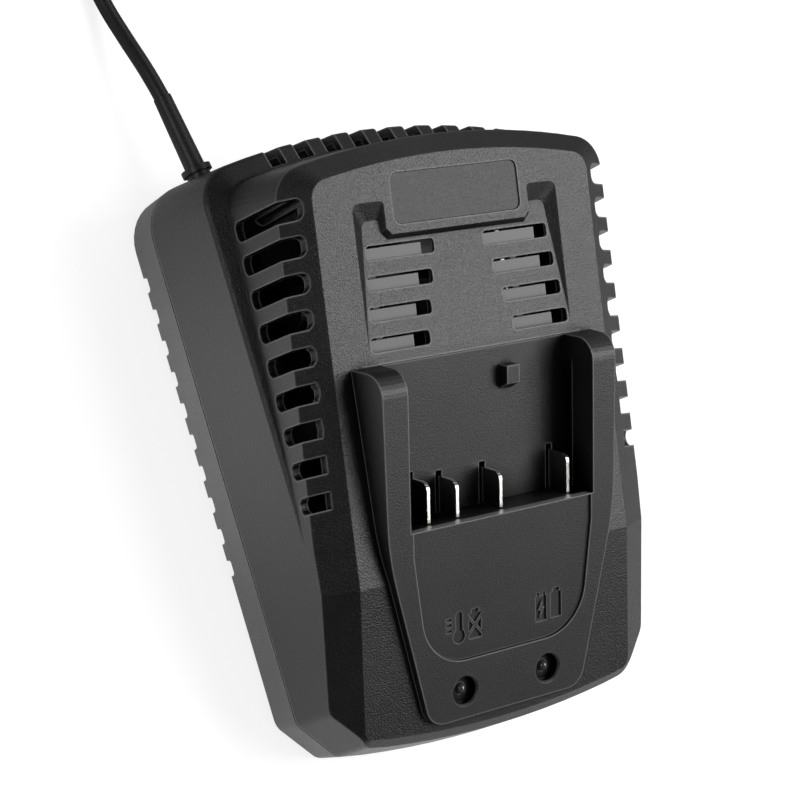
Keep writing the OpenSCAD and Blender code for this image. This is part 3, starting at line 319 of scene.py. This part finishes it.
def moulded(name, tone, grain, rough, depth, edge=0, round_mm=0.35, mottle=0.25, shine=0.5,
            corner_shade_reach=0, rough_play=0.07, speck_share=0.6, edge_highlight_tone=0.4):
    """Moulded plastic: a spark-eroded grain, slow changes of tone, and edges that are rounded.
    Outer edges get a painted highlight, a lighter tone mixed into the colour, and deep corners,
    when asked for, a painted shade that darkens colour and sheen."""
    material = bpy.data.materials.new(name)
    nodes, links = links_of(material)
    tree = material.node_tree
    plastic = nodes["Principled BSDF"]
    plastic.inputs["Specular IOR Level"].default_value = shine

    slow = noise_on(tree, scale=55, detail=2)
    fine = noise_on(tree, scale=grain, detail=2, rough=0.6)
    low = tuple(c * (1 - mottle) for c in tone)
    high = tuple(c * (1 + mottle) for c in tone)
    specks = ramp_on(tree, fine, low=0.55, high=1.0, from_level=0.35, to_level=0.62)
    body = multiplied(tree, ramp_on(tree, slow, low, high), specks, speck_share)
    roughness = ramp_on(tree, fine, rough - rough_play, rough + rough_play)
    links.new(roughness, plastic.inputs["Roughness"])

    # painted shade: colour and sheen are darkened where other surfaces are near, in corners and
    # recesses
    if corner_shade_reach:
        room = openness(tree, corner_shade_reach * MM)
        painted_corner_shade = ramp_on(tree, room, low=0.08, high=1.0, from_level=0.35, to_level=0.85)
        body = multiplied(tree, body, painted_corner_shade, share=1)
        sheen_in_painted_shade = nodes.new("ShaderNodeMath")
        sheen_in_painted_shade.operation = "MULTIPLY"
        sheen_in_painted_shade.inputs[1].default_value = shine
        links.new(painted_corner_shade, sheen_in_painted_shade.inputs[0])
        links.new(sheen_in_painted_shade.outputs[0], plastic.inputs["Specular IOR Level"])

    # painted highlight: a lighter tone mixed into the colour along outer edges
    if edge:
        # inside the wall, a point has something near it only beside an outer edge
        wall = openness(tree, 1.6 * round_mm * MM, inside=True)
        edge_highlight_share = ramp_on(tree, wall, low=edge, high=0.0, from_level=0.58, to_level=0.94)
        edge_highlight_mix = nodes.new("ShaderNodeMix")
        edge_highlight_mix.data_type = "RGBA"
        edge_highlight_mix.inputs[7].default_value = (edge_highlight_tone, edge_highlight_tone, edge_highlight_tone, 1)
        links.new(edge_highlight_share, edge_highlight_mix.inputs["Factor"])
        links.new(body, edge_highlight_mix.inputs[6])
        body = edge_highlight_mix.outputs[2]
    links.new(body, plastic.inputs["Base Color"])

    rounded_edge = nodes.new("ShaderNodeBevel")
    rounded_edge.samples = 4
    rounded_edge.inputs["Radius"].default_value = round_mm * MM
    bump = nodes.new("ShaderNodeBump")
    bump.inputs["Strength"].default_value = 1.0
    bump.inputs["Distance"].default_value = depth * MM
    links.new(fine, bump.inputs["Height"])
    links.new(rounded_edge.outputs["Normal"], bump.inputs["Normal"])
    links.new(bump.outputs["Normal"], plastic.inputs["Normal"])
    return material


def dress(material, *names):
    for name in names:
        node = bpy.data.objects[name]
        node.data.materials.clear()
        node.data.materials.append(material)


cord_rubber = moulded(
    "cord_rubber", tone=(0.010, 0.010, 0.011), grain=2600, rough=0.42, depth=0.02, round_mm=0.2)
cord_curve.materials.append(cord_rubber)
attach(cord, "root")
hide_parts("cord_lead", "cord_coil", "cord_tail")

# ---- strain relief -------------------------------------------------------------------------------
# A moulded grommet of the cord's own rubber. It is pushed into the wall of the cable end from
# inside, and its two flanges hold it there.

dress(cord_rubber, "strain_relief")

# ---- plug ----------------------------------------------------------------------------------------
# A two-pin plug, moulded in one with the cord's end in black PVC. Low ribs on its upper face give
# the fingers a grip, and its pins are solid brass rods, nickel plated.

plug_plastic = moulded(
    "plug_plastic", tone=(0.012, 0.012, 0.013), grain=1900, rough=0.45, depth=0.03, edge=0.15)
dress(plug_plastic, "plug_body")


def metal(name, low, high, scale, rough, stretch=(1, 1, 1), depth=0.004, uneven=0.09,
          edge_round=0.2):
    """Metal with fine drawn or rolled lines. The depth and the edge's radius are in millimetres."""
    material = bpy.data.materials.new(name)
    nodes, links = links_of(material)
    tree = material.node_tree
    surface = nodes["Principled BSDF"]
    surface.inputs["Metallic"].default_value = 1
    lines = noise_on(tree, scale, rough=0.6, stretch=stretch)
    links.new(ramp_on(tree, lines, low, high), surface.inputs["Base Color"])
    links.new(ramp_on(tree, lines, rough - uneven, rough + uneven), surface.inputs["Roughness"])
    bump = nodes.new("ShaderNodeBump")
    bump.inputs["Distance"].default_value = depth * MM
    edge = nodes.new("ShaderNodeBevel")
    edge.samples = 8
    edge.inputs["Radius"].default_value = edge_round * MM
    links.new(edge.outputs["Normal"], bump.inputs["Normal"])
    links.new(lines, bump.inputs["Height"])
    links.new(bump.outputs["Normal"], surface.inputs["Normal"])
    return material


pin_metal = metal(
    "pin_metal", low=(0.62, 0.61, 0.58), high=(0.8, 0.79, 0.76), scale=900, rough=0.25,
    stretch=(0.05, 1, 1))
dress(pin_metal, "plug_pins")


def ribs_along(name, count, first, step, length, radius, material):
    """Row of round ribs that lie along Y, made by Geometry Nodes and turned into a plain mesh."""
    tree = bpy.data.node_groups.new(name, "GeometryNodeTree")
    nodes, links = tree.nodes, tree.links
    wanted = (
        ("Count", "NodeSocketInt", count),
        ("First", "NodeSocketVector", first),
        ("Step", "NodeSocketVector", step),
        ("Length", "NodeSocketFloat", length),
        ("Radius", "NodeSocketFloat", radius),
        ("Material", "NodeSocketMaterial", material),
    )
    keys = {
        title: tree.interface.new_socket(title, in_out="INPUT", socket_type=kind).identifier
        for title, kind, value in wanted
    }
    tree.interface.new_socket("Geometry", in_out="OUTPUT", socket_type="NodeSocketGeometry")

    given = nodes.new("NodeGroupInput")
    places = nodes.new("GeometryNodeMeshLine")
    links.new(given.outputs["Count"], places.inputs["Count"])
    links.new(given.outputs["First"], places.inputs["Start Location"])
    links.new(given.outputs["Step"], places.inputs["Offset"])

    spine = nodes.new("GeometryNodeCurvePrimitiveLine")
    for end, share in (("Start", -0.5), ("End", 0.5)):
        reach = nodes.new("ShaderNodeMath")
        reach.operation = "MULTIPLY"
        reach.inputs[1].default_value = share
        links.new(given.outputs["Length"], reach.inputs[0])
        tip = nodes.new("ShaderNodeCombineXYZ")
        links.new(reach.outputs[0], tip.inputs["Y"])
        links.new(tip.outputs[0], spine.inputs[end])
    section = nodes.new("GeometryNodeCurvePrimitiveCircle")
    section.inputs["Resolution"].default_value = 16
    links.new(given.outputs["Radius"], section.inputs["Radius"])
    rib = nodes.new("GeometryNodeCurveToMesh")
    rib.inputs["Fill Caps"].default_value = True
    links.new(spine.outputs[0], rib.inputs["Curve"])
    links.new(section.outputs[0], rib.inputs["Profile Curve"])

    row = nodes.new("GeometryNodeInstanceOnPoints")
    links.new(places.outputs[0], row.inputs["Points"])
    links.new(rib.outputs[0], row.inputs["Instance"])
    real = nodes.new("GeometryNodeRealizeInstances")
    links.new(row.outputs[0], real.inputs[0])
    finish = nodes.new("GeometryNodeSetMaterial")
    links.new(real.outputs[0], finish.inputs["Geometry"])
    links.new(given.outputs["Material"], finish.inputs["Material"])
    links.new(finish.outputs[0], nodes.new("NodeGroupOutput").inputs[0])

    piece = bpy.data.objects.new(name, bpy.data.meshes.new(name))
    bpy.context.collection.objects.link(piece)
    made_by = piece.modifiers.new(name, "NODES")
    made_by.node_group = tree
    for title, kind, value in wanted:
        made_by[keys[title]] = value
    whole = piece.evaluated_get(bpy.context.evaluated_depsgraph_get())
    piece.data = bpy.data.meshes.new_from_object(whole)
    piece.modifiers.clear()
    return piece


rib_count = 5
rib_step = 2.8
rib_length = 21
rib_radius = 0.7
first_rib_from_pins = 17
plug_low, plug_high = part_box("plug_body")
plug_grip = ribs_along(
    "plug_grip", count=rib_count,
    first=(plug_high.x - first_rib_from_pins * MM, (plug_low.y + plug_high.y) / 2, plug_high.z),
    step=(rib_step * MM, 0, 0), length=rib_length * MM, radius=rib_radius * MM,
    material=plug_plastic)
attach(plug_grip, "root")

# ---- coil tie ------------------------------------------------------------------------------------
# A black nylon strap, woven and hooked on itself, as cords are bundled for the box. It goes round
# all the turns on one side of the coil and keeps both layers together.

tie_angle = 2.2
tie_wide = 6.0
tie_thick = 0.33
tie_corner = 2.0
tie_slack = 0.15
tie_in = coil_tightest - cord_thick / 2 - tie_slack
tie_out = coil_widest + cord_thick / 2 + tie_slack
tie_bottom = tie_thick
tie_top = upper_layer + cord_thick / 2 + 0.1


def tie_outline(grow, steps=8):
    """Rounded rectangle round the turns, as distance from the coil's middle and height."""
    points = []
    corners = (
        (tie_out - tie_corner, tie_top - tie_corner), (tie_in + tie_corner, tie_top - tie_corner),
        (tie_in + tie_corner, tie_bottom + tie_corner),
        (tie_out - tie_corner, tie_bottom + tie_corner),
    )
    for quarter, (r, z) in enumerate(corners):
        for i in range(steps + 1):
            a = (quarter + i / steps) * pi / 2
            points.append((r + (tie_corner + grow) * cos(a), z + (tie_corner + grow) * sin(a)))
    return points


outwards = Vector((cos(tie_angle), sin(tie_angle), 0))
sideways = Vector((-sin(tie_angle), cos(tie_angle), 0))
hub = Vector((coil_middle[0], coil_middle[1], 0))
tie_loops = ((0, -1), (0, 1), (tie_thick, 1), (tie_thick, -1))
tie_points = [
    (hub + outwards * r + sideways * side * tie_wide / 2 + Vector((0, 0, z))) * MM
    for grow, side in tie_loops for r, z in tie_outline(grow)
]
around = len(tie_outline(0))
tie_faces = [
    (k * around + i, k * around + (i + 1) % around,
     (k + 1) % 4 * around + (i + 1) % around, (k + 1) % 4 * around + i)
    for k in range(4) for i in range(around)
]
tie_mesh = bpy.data.meshes.new("coil_tie")
tie_mesh.from_pydata(tie_points, [], tie_faces)
tie_mesh.update()
coil_tie = bpy.data.objects.new("coil_tie", tie_mesh)
bpy.context.collection.objects.link(coil_tie)
tie_nylon = moulded(
    "tie_nylon", tone=(0.02, 0.02, 0.022), grain=3500, rough=0.6, depth=0.08, edge=0.1,
    round_mm=0.1)
tie_mesh.materials.append(tie_nylon)
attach(coil_tie, "root")

# ---- base shell ----------------------------------------------------------------------------------
# The low tray of the housing, moulded in black glass-filled plastic with a spark-eroded surface.
# Its tone is painted lighter than the shell above, standing in for the white floor's light in its
# walls' gloss.

# painted light: the tone is raised well above the upper shell's to stand in for the floor's
# reflection on the base's walls
base_black_painted_light = moulded(
    "base_black_painted_light", tone=(0.068, 0.068, 0.069), grain=2100, rough=0.40, depth=0.20, edge=0.4,
    round_mm=0.3, mottle=0.3, shine=1.0)
dress(base_black_painted_light, "base_shell")

# ---- rubber feet ---------------------------------------------------------------------------------
# Four discs of soft black rubber, moulded and then pressed into pockets under the base. The whole
# charger stands on them.

foot_rubber = moulded(
    "foot_rubber", tone=(0.015, 0.015, 0.015), grain=900, rough=0.7, depth=0.04, edge=0.1)
dress(foot_rubber, "rubber_feet")

# ---- rating plate --------------------------------------------------------------------------------
# A thin grey polyester plate without any print. It is stuck in a shallow bed under the base, so
# that its edges can't catch.

rating_grey = moulded("rating_grey", tone=(0.3, 0.3, 0.31), grain=1500, rough=0.4, depth=0.01)
dress(rating_grey, "rating_plate")

# ---- circuit board -------------------------------------------------------------------------------
# A single-sided board of pressed paper with dark solder resist, screwed down on four posts. The
# mains side lies at the cable end, the output side near the blades.

board_green = moulded(
    "board_green", tone=(0.008, 0.02, 0.012), grain=700, rough=0.35, depth=0.02)
dress(board_green, "main_pcb")

# ---- transformer ---------------------------------------------------------------------------------
# Two ground ferrite halves round a black moulded bobbin. The winding is wrapped in yellow tape, and
# the bobbin's pins are soldered into the board.

ferrite_grey = moulded(
    "ferrite_grey", tone=(0.03, 0.03, 0.033), grain=1300, rough=0.6, depth=0.03)
bobbin_black = moulded(
    "bobbin_black", tone=(0.015, 0.015, 0.016), grain=1500, rough=0.5, depth=0.03, edge=0.2)
tape_yellow = moulded(
    "tape_yellow", tone=(0.05, 0.038, 0.015), grain=500, rough=0.35, depth=0.02)
dress(ferrite_grey, "transformer_core")
dress(bobbin_black, "transformer_bobbin")
dress(tape_yellow, "transformer_winding")

# ---- line choke ----------------------------------------------------------------------------------
# A ferrite ring that stands on the board, wound on both sides with dark enamelled copper wire.

enamelled_copper = moulded(
    "enamelled_copper", tone=(0.010, 0.006, 0.005), grain=900, rough=0.3, depth=0.02)
dress(ferrite_grey, "line_choke_core")
dress(enamelled_copper, "line_choke_winding")

# ---- capacitors ----------------------------------------------------------------------------------
# The mains filter's film capacitor is a cast grey box. The bulk and output capacitors are aluminium
# cans in dark blue shrunk sleeves.

film_box_grey = moulded(
    "film_box_grey", tone=(0.02, 0.02, 0.021), grain=500, rough=0.35, depth=0.02)
sleeve_blue = moulded(
    "sleeve_blue", tone=(0.008, 0.010, 0.03), grain=800, rough=0.3, depth=0.01)
dress(film_box_grey, "x_capacitor")
dress(sleeve_blue, "bulk_capacitor", "output_capacitors")

# ---- semiconductors ------------------------------------------------------------------------------
# The bridge, the two power devices and the control chip all come in black moulded epoxy, and are
# soldered into the board by their legs.

package_black = moulded(
    "package_black", tone=(0.01, 0.01, 0.011), grain=1200, rough=0.4, depth=0.02, edge=0.1)
dress(package_black, "bridge_rectifier", "switching_transistor", "output_diode", "control_chip")

# ---- fuse ----------------------------------------------------------------------------------------
# A glass tube between pressed caps, filled with pale sand. It is soldered in beside the mains
# leads.

fuse_white = moulded("fuse_white", tone=(0.3, 0.3, 0.29), grain=600, rough=0.3, depth=0.01)
dress(fuse_white, "fuse")

# ---- heat sinks ----------------------------------------------------------------------------------
# Two lengths of extruded aluminium with fins. Each stands on the board and carries a power device,
# which leans flat against it.

sink_aluminium = metal(
    "sink_aluminium", low=(0.6, 0.61, 0.63), high=(0.8, 0.81, 0.83), scale=600, rough=0.35,
    stretch=(1, 1, 0.05))
dress(sink_aluminium, "heat_sink_primary", "heat_sink_output")

# ---- mains leads and cord clamp ------------------------------------------------------------------
# A moulded bridge clamps the cord on two posts of the base, and two blue insulated leads run on
# from there to the board.

lead_blue = moulded("lead_blue", tone=(0.03, 0.06, 0.2), grain=600, rough=0.35, depth=0.01)
dress(lead_blue, "mains_leads")
clamp_black = moulded(
    "clamp_black", tone=(0.02, 0.02, 0.022), grain=1500, rough=0.5, depth=0.03, edge=0.2)
dress(clamp_black, "cord_clamp")

# ---- screws --------------------------------------------------------------------------------------
# Zinc-plated steel. They hold the clamp and the board down, and pull the two shells together from
# below.

zinc_steel = metal(
    "zinc_steel", low=(0.5, 0.5, 0.5), high=(0.7, 0.7, 0.68), scale=800, rough=0.3)
dress(zinc_steel, "clamp_screws", "pcb_screws", "housing_screws")

# ---- terminal holder -----------------------------------------------------------------------------
# A moulded block of black heat-resistant plastic under the bay. It is slotted for the four blades
# and keeps them upright.

holder_black = moulded(
    "holder_black", tone=(0.02, 0.02, 0.022), grain=1500, rough=0.5, depth=0.03, edge=0.2)
dress(holder_black, "terminal_holder")

# ---- blades --------------------------------------------------------------------------------------
# Four stamped and tinned copper blades that stand up through the bay's floor. Their edges are
# bright where the stamping tool has burnished them.

blade_metal = metal(
    "blade_metal", low=(0.56, 0.55, 0.53), high=(0.6, 0.59, 0.57), scale=1200, rough=0.17,
    stretch=(1, 0.2, 0.2), depth=0.0, uneven=0.02, edge_round=0.12)
dress(blade_metal, "contact_a", "contact_b", "contact_c", "contact_d")

# ---- battery cradle ------------------------------------------------------------------------------
# The U-shaped rail block that the battery slides on. It is moulded apart from the housing, with a
# finer surface, and drops into a cut-out of the deck.

# painted shade darkens the cradle's corners, the bay and the lights' wells; outer edges get a
# painted highlight
cradle_black = moulded(
    "cradle_black", tone=(0.009, 0.009, 0.010), grain=2600, rough=0.42, depth=0.10, edge=0.4,
    round_mm=0.3, mottle=0.25, shine=0.62, corner_shade_reach=12)
dress(cradle_black, "battery_cradle")

# ---- indicator panel -----------------------------------------------------------------------------
# A tongue-shaped black plate with its signs sunk into it, glued in the recess of the cradle.

panel_black = moulded(
    "panel_black", tone=(0.009, 0.009, 0.010), grain=2600, rough=0.42, depth=0.08, edge=0.3,
    round_mm=0.25, mottle=0.25, shine=0.6)
dress(panel_black, "indicator_panel")

# ---- lights --------------------------------------------------------------------------------------
# Two 3 mm lights of smoky clear epoxy, set low in their wells. Unlit, they show only a small
# reflection.

smoky_epoxy = bpy.data.materials.new("smoky_epoxy")
nodes, links = links_of(smoky_epoxy)
epoxy = nodes["Principled BSDF"]
haze = noise_on(smoky_epoxy.node_tree, scale=900)
smoke = ramp_on(smoky_epoxy.node_tree, haze, low=(0.07, 0.075, 0.07), high=(0.11, 0.12, 0.115))
links.new(smoke, epoxy.inputs["Base Color"])
links.new(ramp_on(smoky_epoxy.node_tree, haze, low=0.03, high=0.07), epoxy.inputs["Roughness"])
epoxy.inputs["Transmission Weight"].default_value = 0.5
epoxy.inputs["Specular IOR Level"].default_value = 1
dress(smoky_epoxy, "led_left", "led_right")

# ---- upper shell ---------------------------------------------------------------------------------
# The tiered upper half of the housing, in the base's black plastic with a crisper grain. Four
# screws pull it down on the base from below, and a fine groove marks the seam.

# painted shade darkens the shell's corners and slots; outer edges get a painted highlight
housing_black = moulded(
    "housing_black", tone=(0.0055, 0.0055, 0.006), grain=2300, rough=0.36, depth=0.15, edge=0.42,
    round_mm=0.35, mottle=0.35, shine=0.6, corner_shade_reach=5)
dress(housing_black, "upper_shell")

# ---- light bars ----------------------------------------------------------------------------------
# Two grids of grey moulded bars, fixed to the inside of the deck. They close the slots from
# inside, so that a dropped pin can't fall in.

light_bar_grey = moulded(
    "light_bar_grey", tone=(0.13, 0.13, 0.134), grain=2600, rough=0.45, depth=0.01, edge=0.2,
    round_mm=0.3, mottle=0.05)
dress(light_bar_grey, "vent_baffle")

# ---- name plate ----------------------------------------------------------------------------------
# A blank foil with a satin face, punched from sheet. It is stuck in its bed at the top of the
# deck.

plate_grey = moulded(
    "plate_grey", tone=(0.014, 0.014, 0.015), grain=2200, rough=0.44, depth=0.002,
    round_mm=0.1, mottle=0.05, shine=0.42)
dress(plate_grey, "name_plate")
